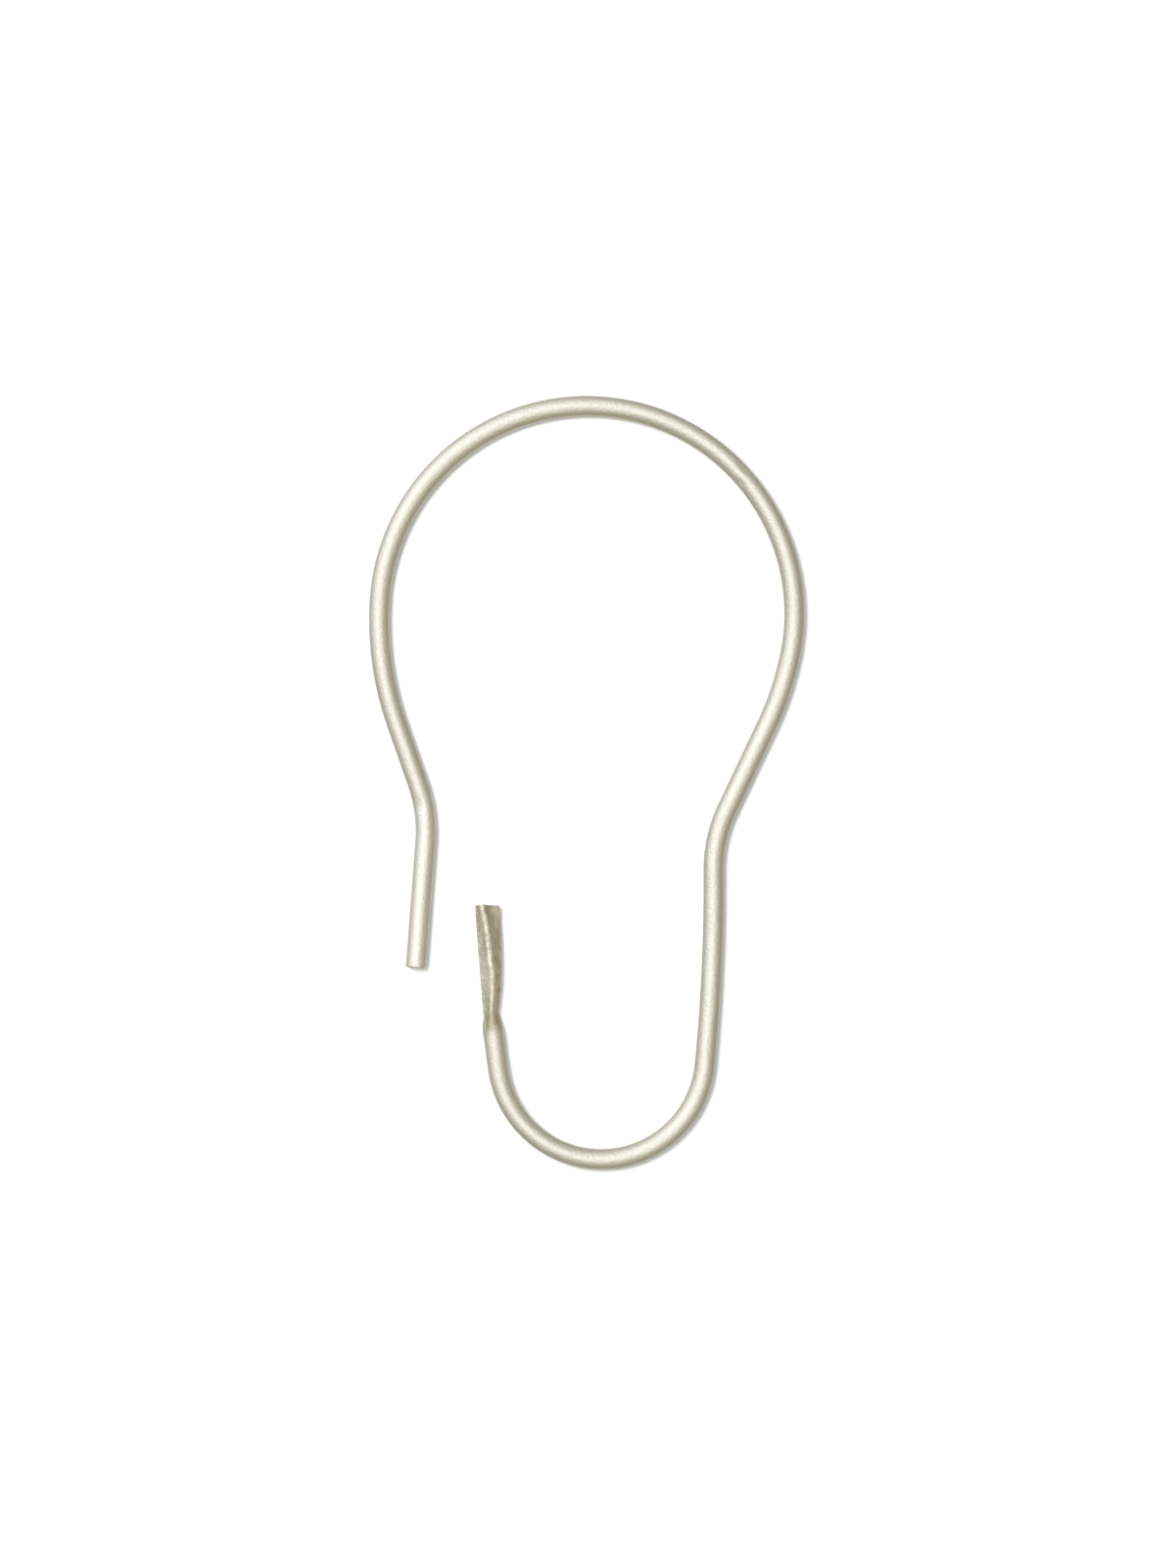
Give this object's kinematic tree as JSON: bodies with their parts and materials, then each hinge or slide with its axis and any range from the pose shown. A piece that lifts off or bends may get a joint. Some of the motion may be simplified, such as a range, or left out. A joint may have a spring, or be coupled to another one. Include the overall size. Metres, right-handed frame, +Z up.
{
  "type": "wire curtain hook",
  "caption": "Pear-shaped hook bent from one length of round satin nickel wire; its loop hangs on a curtain rod, its rounded foot carries an eyelet and its folded tip is a catch.",
  "frame": {"origin": "the centre of the crown, the round top of the loop, on the middle plane of the wire", "axes": "+Z points up as the hook hangs, +Y from the front of the hook to its back along the rod, +X from the tail's side towards the long leg"},
  "size_m": [0.0429, 0.0024, 0.0762],
  "materials": {
    "satin_nickel": "satin nickel plate on steel wire"
  },
  "bodies": {
    "root": {"wire_hook": "satin_nickel"}
  },
  "joints": []
}
